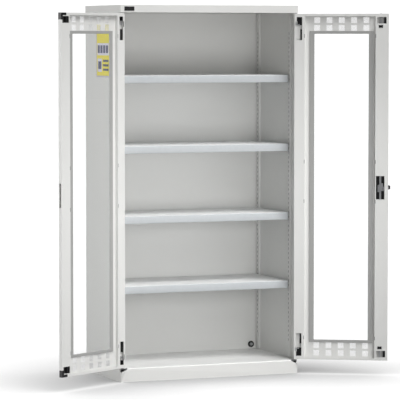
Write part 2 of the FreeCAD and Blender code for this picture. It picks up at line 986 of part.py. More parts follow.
def shared_door_nodes():
    """Pieces that both doors have, drawn in the door's own frame."""
    return {
        "hinge_stiffener": hinge_side_stiffener(),
        "window_pane": window_pane(),
        "glazing_frame": glazing_frame(),
        "pin_guides": pin_guides(),
        "upper_hinge_pin": upper_hinge_pin(),
        "lower_hinge_pin": flipped(upper_hinge_pin()),
    }


def left_door_nodes():
    nodes = shared_door_nodes()
    nodes["door_skin"] = left_door_skin()
    nodes["lock_stiffener"] = left_lock_stiffener()
    nodes["corner_blocks"] = group(corner_block_pair())
    return {"left_" + name: on_left_door(shape) for name, shape in nodes.items()}


def right_door_nodes():
    nodes = shared_door_nodes()
    nodes["door_skin"] = right_door_skin()
    nodes["lock_stiffener"] = right_lock_stiffener()
    placed = {"right_" + name: on_right_door(shape) for name, shape in nodes.items()}
    lock = {
        "lock_case": lock_case(),
        "lock_cam": lock_cam(),
        "spindle": spindle(),
        "top_rod": top_rod(),
        "bottom_rod": bottom_rod(),
        "latch_bar": latch_bar(),
        "rod_guides": rod_guides(),
        "handle_plate": handle_plate(),
        "handle_lever": handle_lever(),
        "key_cylinder": key_cylinder(),
    }
    placed.update({name: on_right_door(shape) for name, shape in lock.items()})
    return placed


def main():
    os.makedirs("parts", exist_ok=True)
    nodes = cabinet_nodes()
    nodes.update(left_door_nodes())
    nodes.update(right_door_nodes())
    for name, shape in sorted(nodes.items()):
        if not shape.isValid():
            raise ValueError("invalid shape: " + name)
        shape.exportStep(os.path.join("parts", name + ".step"))
    print("pieces:", len(nodes), " throw of the rods: %.3f mm" % throw)


main()
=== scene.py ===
# %% [markdown]
# # A sheet-steel cabinet with two glazed doors
# The cabinet is folded from thin steel sheet, and its construction is already finished: every
# panel, shelf, door and lock piece comes in as a node at its real size and place. This lesson
# gives those nodes their looks: a camera, soft light, the finishes, rounder bends on a few of
# them, and the small pieces that a drawing of the construction leaves out.

# %% Load the construction
import json
import math

import bmesh
import bpy
from mathutils import Matrix, Vector


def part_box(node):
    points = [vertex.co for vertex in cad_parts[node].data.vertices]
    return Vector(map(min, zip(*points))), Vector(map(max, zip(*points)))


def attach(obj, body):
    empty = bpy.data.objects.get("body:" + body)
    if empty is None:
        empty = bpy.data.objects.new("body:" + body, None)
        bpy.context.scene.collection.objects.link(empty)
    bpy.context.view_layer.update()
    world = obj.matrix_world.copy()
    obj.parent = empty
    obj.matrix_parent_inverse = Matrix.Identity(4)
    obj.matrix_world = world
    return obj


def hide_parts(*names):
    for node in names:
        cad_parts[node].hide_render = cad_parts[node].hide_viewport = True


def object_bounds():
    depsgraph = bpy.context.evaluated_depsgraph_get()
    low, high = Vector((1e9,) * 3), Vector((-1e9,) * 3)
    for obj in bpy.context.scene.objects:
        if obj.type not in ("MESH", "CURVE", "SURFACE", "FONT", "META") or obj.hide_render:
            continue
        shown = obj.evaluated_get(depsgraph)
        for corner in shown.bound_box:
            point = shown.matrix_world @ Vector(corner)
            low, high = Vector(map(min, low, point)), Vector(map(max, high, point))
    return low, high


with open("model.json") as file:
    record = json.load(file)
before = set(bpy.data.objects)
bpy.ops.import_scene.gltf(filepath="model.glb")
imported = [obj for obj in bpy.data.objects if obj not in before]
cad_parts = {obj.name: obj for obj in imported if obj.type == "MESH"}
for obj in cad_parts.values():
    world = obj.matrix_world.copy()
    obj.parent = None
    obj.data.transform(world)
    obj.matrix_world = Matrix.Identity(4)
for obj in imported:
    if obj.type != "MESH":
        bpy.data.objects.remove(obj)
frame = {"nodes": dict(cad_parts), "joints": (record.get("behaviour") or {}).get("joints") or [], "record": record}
nodes = frame["nodes"]
cad_low, cad_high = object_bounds()
print("nodes:", len(nodes), "box:", [round(v, 4) for v in (*cad_low, *cad_high)])

# %% [markdown]
# ## The camera
# The picture was taken from far away with a long lens, a little to the left of the cabinet and
# just under its top. A long lens keeps upright edges nearly parallel. The camera could be aimed
# with a Track To constraint, but two plain angles are easier to read and to repeat.

# %% Camera
camera_place = Vector((-5.20874, -13.01363, 1.83490))
camera_dip = math.radians(3.6440)
camera_turn = math.radians(-22.0098)
lens_length = 231.54
view_reach = 200.0

camera_data = bpy.data.cameras.new("long_lens")
camera_data.lens = lens_length
camera_data.clip_end = view_reach
camera = bpy.data.objects.new("camera", camera_data)
camera.location = camera_place
camera.rotation_euler = (math.pi / 2 - camera_dip, 0.0, camera_turn)
bpy.context.scene.collection.objects.link(camera)
bpy.context.scene.camera = camera
print("camera", round((camera_place - (cad_low + cad_high) / 2).length, 2), "m away")

# %% [markdown]
# ## Nodes from a script
# The floor, the finishes and the repeated pieces are all node trees. Trees are usually wired by
# hand in an editor. In a script, a few small helpers keep the wiring short: one feeds a socket, one
# places a node, two do sums, and one starts a group. They serve shader and geometry trees alike.

# %% Helpers for nodes
def feed(tree, socket, value):
    """Link a socket to another socket, or set its value."""
    if isinstance(value, bpy.types.NodeSocket):
        tree.links.new(value, socket)
    else:
        socket.default_value = value


def place(tree, kind, inputs=(), **settings):
    """Add a node with its settings, then feed its inputs by name or number."""
    node = tree.nodes.new(kind)
    for name, value in settings.items():
        setattr(node, name, value)
    for key, value in dict(inputs).items():
        feed(tree, node.inputs[key], value)
    return node


def arithmetic(tree, operation, first, second):
    return place(tree, "ShaderNodeMath", {0: first, 1: second}, operation=operation).outputs[0]


def between(tree, value, low, high, start=0.0, stop=1.0):
    """Map a value from start..stop to low..high."""
    inputs = {"Value": value, "From Min": start, "From Max": stop, "To Min": low, "To Max": high}
    return place(tree, "ShaderNodeMapRange", inputs).outputs["Result"]


def node_group(name, tree_kind, inputs, outputs):
    """An empty tree with named sockets: returns the tree, what comes in and what goes out."""
    tree = bpy.data.node_groups.new(name, tree_kind)
    for label, kind, value in inputs:
        socket = tree.interface.new_socket(label, in_out="INPUT", socket_type="NodeSocket" + kind)
        if value is not None:
            socket.default_value = value
    for label, kind in outputs:
        tree.interface.new_socket(label, in_out="OUTPUT", socket_type="NodeSocket" + kind)
    return tree, tree.nodes.new("NodeGroupInput").outputs, tree.nodes.new("NodeGroupOutput").inputs


# %% [markdown]
# ## Floor and light
# The cabinet stands in a white studio. Distant lights reach every part alike: from the left, from
# the front, high from the right, and from behind. Two softboxes in front of the cabinet, at half
# its height, reach into the compartments. They stay out of mirror reflections, so that a closed
# pane stays clear. The floor and the backdrop look white, but they pass little light on. The Light
# Path node does that: what is seen directly or through a pane is white, and all other rays meet a
# dim grey. Ambient occlusion in the floor's finish deepens the soft shadow where the plinth stands.

# %% Helpers for the studio
def link_up(name, data):
    """Put an object with this data into the scene."""
    thing = bpy.data.objects.new(name, data)
    bpy.context.scene.collection.objects.link(thing)
    return thing


def seen_directly(tree):
    """1 for rays from the camera or through a pane, 0 for rays that only carry light."""
    path = place(tree, "ShaderNodeLightPath").outputs
    return arithmetic(tree, "MAXIMUM", path["Is Camera Ray"], path["Is Transmission Ray"])


# %% Backdrop
backdrop_light = 0.08
backdrop_white = 1.15


def white_backdrop():
    world = bpy.data.worlds.new("white_studio")
    world.use_nodes = True
    tree = world.node_tree
    background = tree.nodes["Background"].inputs
    background["Color"].default_value = (1.0, 1.0, 1.0, 1.0)
    feed(tree, background["Strength"], between(tree, seen_directly(tree), backdrop_light, backdrop_white))
    return world


bpy.context.scene.world = white_backdrop()
bpy.context.scene.view_settings.view_transform = "Standard"
print("backdrop:", bpy.context.scene.world.name)

# %% Floor
floor_half = 60.0
floor_white = 0.10
floor_dim = 0.3
floor_glow = 1.02
floor_roughness = 0.9
shadow_reach = 0.9
shadow_depth = 1.3


def floor_finish():
    material = bpy.data.materials.new("studio_white")
    material.use_nodes = True
    tree = material.node_tree
    seen = seen_directly(tree)
    open_sky = place(tree, "ShaderNodeAmbientOcclusion", {"Distance": shadow_reach}).outputs["AO"]
    deepened = arithmetic(tree, "POWER", open_sky, shadow_depth)
    shader = tree.nodes["Principled BSDF"].inputs
    shader["Roughness"].default_value = floor_roughness
    shader["Specular IOR Level"].default_value = 0.0
    shader["Emission Strength"].default_value = floor_glow
    feed(tree, shader["Base Color"], between(tree, seen, floor_dim, floor_white))
    feed(tree, shader["Emission Color"], arithmetic(tree, "MULTIPLY", deepened, seen))
    return material


floor_mesh = bpy.data.meshes.new("studio_floor")
floor_corners = [(x * floor_half, y * floor_half, 0) for x, y in ((-1, -1), (1, -1), (1, 1), (-1, 1))]
floor_mesh.from_pydata(floor_corners, [], [(0, 1, 2, 3)])
floor_mesh.materials.append(floor_finish())
floor = link_up("studio_floor", floor_mesh)
print("floor:", 2 * floor_half, "m wide")

# %% Helpers for lights
sun_spread = 0.45
sun_distance = 10.0
softbox_size = (1.8, 1.0)
softbox_distance = 3.0
softbox_height = 0.95
softbox_spread = math.radians(60)
front_middle = Vector((0.0, cad_low.y / 2, cad_high.z / 2))


def toward(azimuth, elevation, distance):
    """The way to a light: azimuth to the right and elevation upwards, in degrees."""
    turn = math.radians(azimuth)
    rise = math.radians(elevation)
    level = distance * math.cos(rise)
    return Vector((level * math.sin(turn), -level * math.cos(turn), distance * math.sin(rise)))


def aim(light, spot, target):
    light.location = spot
    light.rotation_euler = (target - spot).to_track_quat("-Z", "Y").to_euler()


def distant_light(name, azimuth, elevation, strength):
    data = bpy.data.lights.new(name, "SUN")
    data.energy = strength
    data.angle = sun_spread
    aim(link_up(name, data), toward(azimuth, elevation, sun_distance), Vector())


def front_softbox(name, azimuth, power):
    """A wide softbox that faces the middle of the front and shows in no mirror reflection."""
    data = bpy.data.lights.new(name, "AREA")
    data.shape = "RECTANGLE"
    data.size, data.size_y = softbox_size
    data.energy = power
    data.spread = softbox_spread
    spot = front_middle + toward(azimuth, 0, softbox_distance)
    spot.z = softbox_height
    softbox = link_up(name, data)
    softbox.visible_glossy = False
    aim(softbox, spot, front_middle)


# %% Lights
distant_light("left_light", -110, 5, 2.05)
distant_light("level_light", 0, 5, 0.22)
distant_light("front_light", 0, 35, 0.5)
distant_light("key_light", 24, 57, 2.10)
distant_light("back_light", 165, 25, 0.9)
front_softbox("middle_softbox", -7, 4.55)
front_softbox("right_softbox", 28, 1.4)
print("lights:", [light.name for light in bpy.data.lights])

# %% [markdown]
# ## Effects that several finishes share
# Powder paint has a fine orange-peel grain, rolled sheet has streaks and faint crystals, and every
# used surface has marks and dust. The layer on faces that look up is also painted light: laid thick
# in a pale colour, it brightens the shelf tops and the floor of the case as light from above would.
# Each effect is a shader node group with named inputs, so each finish can place it with its own
# values. A group hands out colours, masks and heights only. The shader itself stays in the material,
# where it is easy to find.

# %% Helpers for shader groups
noise_middle = 0.5
plain_grey = (0.6, 0.6, 0.6, 1.0)
skin_outputs = [("Color", "Color"), ("Roughness", "Float"), ("Height", "Float")]


def object_place(tree):
    return place(tree, "ShaderNodeTexCoord").outputs["Object"]


def noise(tree, where, scale, detail, distortion=0.0):
    inputs = {"Vector": where, "Scale": scale, "Detail": detail, "Distortion": distortion}
    return place(tree, "ShaderNodeTexNoise", inputs).outputs["Fac"]


def toned(tree, color, change):
    """A colour made lighter or darker; a change of 0 leaves it as it is."""
    value = arithmetic(tree, "ADD", change, 1.0)
    return place(tree, "ShaderNodeHueSaturation", {"Color": color, "Value": value}).outputs["Color"]


# %% Group: powder grain
drift_scale = 2.3


def powder_grain():
    """Orange-peel grain with a slow drift of tone."""
    tree, enter, leave = node_group(
        "powder_grain", "ShaderNodeTree",
        [("Color", "Color", plain_grey), ("Tone", "Float", 0.02), ("Grain", "Float", 600.0),
         ("Roughness", "Float", 0.45), ("Spread", "Float", 0.06)],
        skin_outputs,
    )
    where = object_place(tree)
    drift = noise(tree, where, drift_scale, 3.0)
    peel = noise(tree, where, enter["Grain"], 2.0)
    centred = arithmetic(tree, "SUBTRACT", arithmetic(tree, "ADD", drift, peel), 2 * noise_middle)
    change = arithmetic(tree, "MULTIPLY", centred, enter["Tone"])
    feed(tree, leave["Color"], toned(tree, enter["Color"], change))
    uneven = arithmetic(tree, "SUBTRACT", peel, noise_middle)
    rough = arithmetic(tree, "MULTIPLY", uneven, enter["Spread"])
    feed(tree, leave["Roughness"], arithmetic(tree, "ADD", rough, enter["Roughness"]))
    feed(tree, leave["Height"], peel)
    return tree


# %% Group: rolled sheet
crystal_share = 0.5


def rolled_sheet():
    """Streaks from the rolling mill over the faint crystals of a zinc coat."""
    tree, enter, leave = node_group(
        "rolled_sheet", "ShaderNodeTree",
        [("Color", "Color", plain_grey), ("Stretch", "Vector", (4.0, 300.0, 300.0)),
         ("Crystal", "Float", 60.0), ("Tone", "Float", 0.05), ("Roughness", "Float", 0.4),
         ("Spread", "Float", 0.12)],
        skin_outputs,
    )
    where = object_place(tree)
    drawn = place(tree, "ShaderNodeVectorMath", {0: where, 1: enter["Stretch"]}, operation="MULTIPLY")
    streak = noise(tree, drawn.outputs["Vector"], 1.0, 4.0)
    crystal = place(tree, "ShaderNodeTexVoronoi", {"Vector": where, "Scale": enter["Crystal"]})
    cell = place(tree, "ShaderNodeRGBToBW", {"Color": crystal.outputs["Color"]}).outputs["Val"]
    mixed = arithmetic(tree, "ADD", streak, arithmetic(tree, "MULTIPLY", cell, crystal_share))
    centred = arithmetic(tree, "SUBTRACT", mixed, noise_middle * (1.0 + crystal_share))
    change = arithmetic(tree, "MULTIPLY", centred, enter["Tone"])
    feed(tree, leave["Color"], toned(tree, enter["Color"], change))
    rough = arithmetic(tree, "MULTIPLY", centred, enter["Spread"])
    feed(tree, leave["Roughness"], arithmetic(tree, "ADD", rough, enter["Roughness"]))
    feed(tree, leave["Height"], streak)
    return tree


# %% Groups: dust and painted light on top, and finger marks
dust_color = (0.62, 0.61, 0.58, 1.0)
top_slope = 0.6
top_patches = (0.35, 0.65)
thinnest_top_layer = 0.75
smear_edges = (0.5, 0.75)


def blended(tree, mask, under, over):
    """One colour over another, where the mask is 1."""
    mix = place(tree, "ShaderNodeMix", data_type="RGBA")
    for name, value in (("Factor", mask), ("A", under), ("B", over)):
        feed(tree, mix.inputs[name], value)
    return mix.outputs["Result"]


def dust_and_top_light():
    """A layer on faces that look up, thicker in patches: dust when thin, painted light when thick and pale."""
    tree, enter, leave = node_group(
        "dust_and_top_light", "ShaderNodeTree",
        [("Color", "Color", plain_grey), ("Top colour", "Color", dust_color), ("Amount", "Float", 0.2)],
        [("Color", "Color"), ("Mask", "Float")],
    )
    normal = place(tree, "ShaderNodeNewGeometry").outputs["Normal"]
    facing = place(tree, "ShaderNodeSeparateXYZ", {0: normal})
    upward = between(tree, facing.outputs["Z"], 0.0, 1.0, top_slope, 1.0)
    patch = between(tree, noise(tree, object_place(tree), 9.0, 4.0), thinnest_top_layer, 1.0, *top_patches)
    film = arithmetic(tree, "MULTIPLY", upward, patch)
    mask = arithmetic(tree, "MULTIPLY", film, enter["Amount"])
    feed(tree, leave["Color"], blended(tree, mask, enter["Color"], enter["Top colour"]))
    feed(tree, leave["Mask"], mask)
    return tree


def finger_marks():
    """Soft smears where hands have wiped a surface."""
    tree, enter, leave = node_group(
        "finger_marks", "ShaderNodeTree",
        [("Scale", "Float", 7.0), ("Amount", "Float", 0.05)],
        [("Mask", "Float")],
    )
    cloud = noise(tree, object_place(tree), enter["Scale"], 5.0, 1.2)
    smear = between(tree, cloud, 0.0, 1.0, *smear_edges)
    feed(tree, leave["Mask"], arithmetic(tree, "MULTIPLY", smear, enter["Amount"]))
    return tree


effects = {tree.name: tree for tree in (powder_grain(), rolled_sheet(), dust_and_top_light(), finger_marks())}
print("shader groups:", sorted(effects))

# %% [markdown]
# ## The finishes
# The case and doors are powder painted in a warm light grey. The shelves are zinc-coated sheet,
# which reads cooler and shinier. Small moving pieces are bright zinc plate, the mouldings black
# plastic, and the panes clear. Every finish is worked out from the place on the object, so it needs
# no image and looks the same from any side.

# %% Helpers for materials
top_layer_matt = 0.2


def effect(tree, name, inputs):
    """Place a shared effect in a material with its own values."""
    node = place(tree, "ShaderNodeGroup", node_tree=effects[name])
    for key, value in inputs.items():
        feed(tree, node.inputs[key], value)
    return node.outputs


def finish_material(name, color):
    """A material with its Principled shader; color is what the flat viewport shows."""
    material = bpy.data.materials.new(name)
    material.use_nodes = True
    material.diffuse_color = color
    return material, material.node_tree, material.node_tree.nodes["Principled BSDF"].inputs


def bumped(tree, height, depth, strength):
    """A normal that follows a height map; depth is in metres."""
    bump = place(tree, "ShaderNodeBump", {"Height": height, "Distance": depth, "Strength": strength})
    return bump.outputs["Normal"]


def top_layered(tree, shader, skin, top_layer_color, amount):
    """Lay the layer on what looks up over a skin, and feed the shader's colour and roughness."""
    film = effect(tree, "dust_and_top_light", {"Color": skin["Color"], "Top colour": top_layer_color, "Amount": amount})
    matt = arithmetic(tree, "MULTIPLY", film["Mask"], top_layer_matt)
    feed(tree, shader["Base Color"], film["Color"])
    feed(tree, shader["Roughness"], arithmetic(tree, "ADD", skin["Roughness"], matt))


# %% Paint and plastic
paint_color = (0.80, 0.80, 0.782, 1.0)
# A pale layer colour: faint dust on small metal parts, painted light where it is laid thick.
pale_dust_and_light = (0.94, 0.94, 0.93, 1.0)
hand_marks = 0.08
grain_strength = 0.6


def grained(name, color, tone, grain, roughness, top_layer, depth, top_layer_color=dust_color):
    """A surface with powder grain and a layer on what looks up: dust when thin and grey, painted light when thick
    and pale.
    """
    material, tree, shader = finish_material(name, color)
    skin = effect(tree, "powder_grain", {
        "Color": color, "Tone": tone, "Grain": grain, "Roughness": roughness})
    top_layered(tree, shader, skin, top_layer_color, top_layer)
    feed(tree, shader["Coat Weight"], effect(tree, "finger_marks", {"Amount": hand_marks})["Mask"])
    feed(tree, shader["Normal"], bumped(tree, skin["Height"], depth, grain_strength))
    return material


grey_paint = grained(
    "grey_paint", paint_color, tone=0.03, grain=650.0, roughness=0.42, top_layer=0.08, depth=0.00004)
# The case floor gets a thick pale layer on its upward faces: painted light that brightens it.
gloss_paint = grained(
    "gloss_paint", paint_color, tone=0.03, grain=650.0, roughness=0.20, top_layer=0.7, depth=0.00001,
    top_layer_color=pale_dust_and_light)
black_plastic = grained(
    "black_plastic", (0.012, 0.012, 0.013, 1.0), tone=0.15, grain=1500.0, roughness=0.48, top_layer=0.02,
    depth=0.00003)
glazing_rubber = grained(
    "glazing_rubber", (0.40, 0.40, 0.393, 1.0), tone=0.06, grain=900.0, roughness=0.6, top_layer=0.05,
    depth=0.00004)
print("grained:", [m.name for m in (grey_paint, gloss_paint, black_plastic, glazing_rubber)])

# %% Bare metals
streak_depth = 0.00001
streak_strength = 0.5


def sheet_metal(name, color, stretch, crystal, tone, roughness, metallic, top_layer):
    """Zinc or nickel with rolling streaks, crystals and a pale layer on what looks up: dust when thin, painted
    light when thick.
    """
    material, tree, shader = finish_material(name, color)
    skin = effect(tree, "rolled_sheet", {
        "Color": color, "Stretch": stretch, "Crystal": crystal, "Tone": tone, "Roughness": roughness})
    top_layered(tree, shader, skin, pale_dust_and_light, top_layer)
    shader["Metallic"].default_value = metallic
    feed(tree, shader["Normal"], bumped(tree, skin["Height"], streak_depth, streak_strength))
    return material


# The shelf tops get a thick pale layer: painted light that brightens them.
galvanised_sheet = sheet_metal(
    "galvanised_sheet", (0.575, 0.602, 0.62, 1.0), stretch=(3.0, 260.0, 260.0), crystal=70.0,
    tone=0.08, roughness=0.38, metallic=0.1, top_layer=0.95)
zinc_plate = sheet_metal(
    "zinc_plate", (0.66, 0.67, 0.69, 1.0), stretch=(300.0, 300.0, 40.0), crystal=400.0,
    tone=0.12, roughness=0.32, metallic=0.9, top_layer=0.1)
nickel = sheet_metal(
    "nickel", (0.70, 0.68, 0.64, 1.0), stretch=(500.0, 60.0, 500.0), crystal=500.0,
    tone=0.08, roughness=0.25, metallic=1.0, top_layer=0.1)
print("metals:", galvanised_sheet.name, zinc_plate.name, nickel.name)

# %% Clear pane
pane_tint = (0.99, 1.0, 0.995, 1.0)
pane_ior = 1.49


def clear_glazing():
    """Clear sheet with wiped smears that only show as a change of gloss."""
    material, tree, shader = finish_material("clear_pane", pane_tint)
    smear = effect(tree, "finger_marks", {"Scale": 5.0, "Amount": 0.05})
    feed(tree, shader["Roughness"], smear["Mask"])
    shader["Base Color"].default_value = pane_tint
    shader["Transmission Weight"].default_value = 1.0
    shader["IOR"].default_value = pane_ior
    return material


clear_pane = clear_glazing()
print("pane:", clear_pane.name)

# %% [markdown]
# ## Dress the construction
# The record says which finish each node has, by the name of a material slot. Going by that list
# keeps the looks and the construction in step, and no node is forgotten.

# %% Assign the finishes
finishes = {
    "grey_paint": grey_paint, "galvanised_sheet": galvanised_sheet, "zinc_plate": zinc_plate,
    "clear_pane": clear_pane, "glazing_rubber": glazing_rubber, "black_plastic": black_plastic,
    "nickel": nickel,
}


def dress(node, material):
    mesh = nodes[node].data
    mesh.materials.clear()
    mesh.materials.append(material)


for part in frame["record"]["subparts"]:
    dress(part["node"], finishes[part["material_slot"]])

# %% [markdown]
# ## Closed doors make easy measuring
# The doors are drawn wide open, so their edges lie askew to the axes. A piece that sits on a door is
# easier to place on the closed door and swing out afterwards. The hinge joint gives the axis and the
# angle, so nothing has to be measured twice.

# %% Helpers for pieces on the doors
sides = ("left", "right")
joints = {joint["name"]: joint for joint in frame["joints"]}


def swing(side):
    """Matrix that takes a point of the closed door to the open rest place."""
    joint = joints[side + "_door_swing"]
    closing = max(joint["range_deg"], key=abs)
    pivot = Matrix.Translation(Vector(joint["pos_m"]))
    return pivot @ Matrix.Rotation(math.radians(-closing), 4, "Z") @ pivot.inverted()


def closed_points(side, node):
    """The points of a door node, as they lie on the closed door."""
    back = swing(side).inverted()
    return [back @ vertex.co for vertex in nodes[node].data.vertices]


def closed_box(side, node):
    """Lowest and highest corner of a door node, measured on the closed door."""
    points = closed_points(side, node)
    low = Vector([min(p[k] for p in points) for k in range(3)])
    high = Vector([max(p[k] for p in points) for k in range(3)])
    return low, high


def add_piece(name, mesh, body):
    """Link a finished mesh as a piece that rides on a body."""
    piece = link_up(name, mesh)
    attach(piece, body)
    return piece


for side in sides:
    low, high = closed_box(side, side + "_door_skin")
    print(side, "door closed:", [round(v, 4) for v in (*low, *high)])

# %% [markdown]
# ## Softer bends
# Folded sheet has round bends, and each one shows as a bright line under studio light. The shelves
# were drawn with crisp edges and the plinth with a tight bend, so both get a copy with rounder bends
# that takes their place. A Bevel modifier could do it, but a bevel in bmesh picks just the outer
# edges. The plinth's bend is already round, and its points only move out to a larger circle. The
# paint of this tray is glossier than the rest, as a wiped floor is.

# %% Helpers for softened copies
same_point = 1e-6
flat_face = 0.999
smooth_angle = math.radians(32)


def merged_shape(node):
    """A copy of a node's mesh as a bmesh, with its doubled points merged."""
    shape = bmesh.new()
    shape.from_mesh(nodes[node].data)
    bmesh.ops.remove_doubles(shape, verts=shape.verts, dist=same_point)
    return shape


def softened_piece(name, shape, node, body, material):
    """Turn the shape into a piece that takes the node's place."""
    mesh = bpy.data.meshes.new(name)
    shape.to_mesh(mesh)
    shape.free()
    mesh.materials.append(material)
    for face in mesh.polygons:
        face.use_smooth = max(abs(part) for part in face.normal) < flat_face
    mesh.set_sharp_from_angle(angle=smooth_angle)
    piece = add_piece(name, mesh, body)
    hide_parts(node)


# %% Shelves with round bends
shelf_bend = 0.0026
shelf_count = 4
square_on = 0.01
outer_margin = 0.006
end_margin = 0.0002


def is_outer_bend(edge, low, high):
    """True for a level edge between an upright outer face and the top or bottom face."""
    if len(edge.link_faces) != 2:
        return False
    lifts = sorted(abs(face.normal.z) for face in edge.link_faces)
    if lifts[0] > square_on or lifts[1] < 1.0 - square_on:
        return False
    middle = (edge.verts[0].co + edge.verts[1].co) / 2
    margin = min(middle.x - low.x, high.x - middle.x, middle.y - low.y, high.y - middle.y)
    ends = min(middle.z - low.z, high.z - middle.z)
    return margin < outer_margin and ends < end_margin


for number in range(1, shelf_count + 1):
    node = "shelf_%d" % number
    low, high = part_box(node)
    shape = merged_shape(node)
    bmesh.ops.dissolve_limit(shape, angle_limit=square_on, verts=shape.verts, edges=shape.edges)
    bends = [edge for edge in shape.edges if edge.is_convex and is_outer_bend(edge, low, high)]
    bmesh.ops.bevel(shape, geom=bends, offset=shelf_bend, segments=3, profile=0.5, affect="EDGES")
    softened_piece("soft_" + node, shape, node, "cabinet", galvanised_sheet)
    print(node, len(bends), "bends rounded")

# %% Plinth with a rounder bend
drawn_bend = 0.004
soft_bend = 0.0075
on_circle = 1e-5


def soften_plinth(shape, low, high):
    """Move the points of the front bend from their small circle to a larger one."""
    moved = 0
    for vertex in shape.verts:
        out = Vector((vertex.co.y - (low.y + drawn_bend), vertex.co.z - (high.z - drawn_bend)))
        if out.x > on_circle or out.y < -on_circle or out.length < on_circle:
            continue
        layer = drawn_bend - out.length
        fresh = out.normalized() * (soft_bend - layer)
        vertex.co.y = low.y + soft_bend + fresh.x
        vertex.co.z = high.z - soft_bend + fresh.y
        moved += 1
    return moved


tray_low, tray_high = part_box("base_tray")
tray_shape = merged_shape("base_tray")
print("plinth bend:", soften_plinth(tray_shape, tray_low, tray_high), "points moved")
# Besides being glossy, this paint lays painted light on the floor of the case as a thick pale layer.
softened_piece("soft_base_tray", tray_shape, "base_tray", "cabinet", gloss_paint)

# %% [markdown]
# ## Rivets and screws
# The back wall is riveted to the sides, the posts have a rivet at each end, and the handle's plate
# has two socket screws. One Geometry Nodes tree makes all the heads: a cone bent into a dome, with a
# six-sided socket cut out where one is wanted, put on points that carry the way they face. The
# result is turned into a plain mesh, because a finished model keeps no modifiers.

# %% Helpers for Geometry Nodes trees
def geometry_tree(name, sizes):
    """A tree that takes a mesh, its own sizes and a material, and hands out a shape."""
    inputs = [("Geometry", "Geometry", None), *sizes, ("Material", "Material", None)]
    return node_group(name, "GeometryNodeTree", inputs, [("Geometry", "Geometry")])


def vector(tree, **parts):
    """A vector from its X, Y and Z, each 0 when not given."""
    return place(tree, "ShaderNodeCombineXYZ", parts).outputs["Vector"]


def close_tree(tree, leave, geometry, material):
    """Every tree ends the same way: real geometry with its material."""
    real = place(tree, "GeometryNodeRealizeInstances", {"Geometry": geometry}).outputs["Geometry"]
    coated = place(tree, "GeometryNodeSetMaterial", {"Geometry": real, "Material": material})
    feed(tree, leave["Geometry"], coated.outputs["Geometry"])


# %% A dome and its socket
dome_top = 0.2


def bent_dome(tree, radius, height):
    """A flat-topped cone whose points are lifted onto a dome."""
    cone = place(tree, "GeometryNodeMeshCone", {
        "Vertices": 16, "Side Segments": 4, "Radius Top": arithmetic(tree, "MULTIPLY", radius, dome_top),
        "Radius Bottom": radius, "Depth": height})
    spot = place(tree, "GeometryNodeInputPosition").outputs["Position"]
    squash = {0: spot, 1: (1.0, 1.0, 0.0)}
    flat = place(tree, "ShaderNodeVectorMath", squash, operation="MULTIPLY").outputs[0]
    reach = place(tree, "ShaderNodeVectorMath", {0: flat}, operation="LENGTH").outputs["Value"]
    share = arithmetic(tree, "DIVIDE", reach, radius)
    fall = arithmetic(tree, "SUBTRACT", 1.0, arithmetic(tree, "MULTIPLY", share, share))
    arch = arithmetic(tree, "POWER", arithmetic(tree, "MAXIMUM", fall, 0.0), 0.5)
    upright = vector(tree, Z=arithmetic(tree, "MULTIPLY", arch, height))
    target = place(tree, "ShaderNodeVectorMath", {0: flat, 1: upright}, operation="ADD").outputs[0]
    dome = place(tree, "GeometryNodeSetPosition", {"Geometry": cone.outputs["Mesh"], "Position": target})
    return dome.outputs["Geometry"]


def with_socket(tree, dome, radius, height):
    """The dome with a six-sided socket in its top."""
    key = place(tree, "GeometryNodeMeshCylinder", {"Vertices": 6, "Radius": radius, "Depth": height})
    lifted = place(tree, "GeometryNodeTransform", {
        "Geometry": key.outputs["Mesh"], "Translation": vector(tree, Z=height)})
    cut = place(tree, "GeometryNodeMeshBoolean", operation="DIFFERENCE")
    feed(tree, cut.inputs["Mesh 1"], dome)
    feed(tree, cut.inputs["Mesh 2"], lifted.outputs["Geometry"])
    return cut.outputs["Mesh"]


# %% Geometry Nodes tree for domed heads
def domed_heads():
    """A head on each point, turned the way that the point's attribute says."""
    tree, enter, leave = geometry_tree("domed_heads", [
        ("Radius", "Float", 0.003), ("Height", "Float", 0.0015), ("Socket", "Bool", False),
        ("Socket radius", "Float", 0.0015)])
    dome = bent_dome(tree, enter["Radius"], enter["Height"])
    socketed = with_socket(tree, dome, enter["Socket radius"], enter["Height"])
    head = place(tree, "GeometryNodeSwitch", {"Switch": enter["Socket"], "False": dome, "True": socketed})
    facing = place(tree, "GeometryNodeInputNamedAttribute", {"Name": "facing"}, data_type="FLOAT_VECTOR")
    turn = place(
        tree, "FunctionNodeAlignRotationToVector", {"Vector": facing.outputs["Attribute"]}, axis="Z")
    row = place(tree, "GeometryNodeInstanceOnPoints", {
        "Points": enter["Geometry"], "Instance": head.outputs["Output"],
        "Rotation": turn.outputs["Rotation"]})
    close_tree(tree, leave, row.outputs["Instances"], enter["Material"])
    return tree


head_tree = domed_heads()
print("tree:", head_tree.name, "with", len(head_tree.nodes), "nodes")

# %% Turn a tree's result into a plain mesh
def grown_mesh(name, seed_mesh, tree, values):
    """Run a tree on a mesh, return the result as a plain mesh and throw the seed away."""
    maker = link_up(name + "_maker", seed_mesh)
    modifier = maker.modifiers.new("grow", "NODES")
    modifier.node_group = tree
    for item in tree.interface.items_tree:
        if item.in_out == "INPUT" and item.name in values:
            modifier[item.identifier] = values[item.name]
    depsgraph = bpy.context.evaluated_depsgraph_get()
    mesh = bpy.data.meshes.new_from_object(maker.evaluated_get(depsgraph))
    mesh.name = name
    maker.modifiers.remove(modifier)
    bpy.data.objects.remove(maker)
    bpy.data.meshes.remove(seed_mesh)
    return mesh


def facing_points(places):
    """Loose points that carry the way a head on them faces."""
    mesh = bpy.data.meshes.new("places")
    mesh.from_pydata([spot for spot, _ in places], [], [])
    facing = mesh.attributes.new("facing", "FLOAT_VECTOR", "POINT")
    for item, (_, way) in zip(facing.data, places):
        item.vector = way
    return mesh


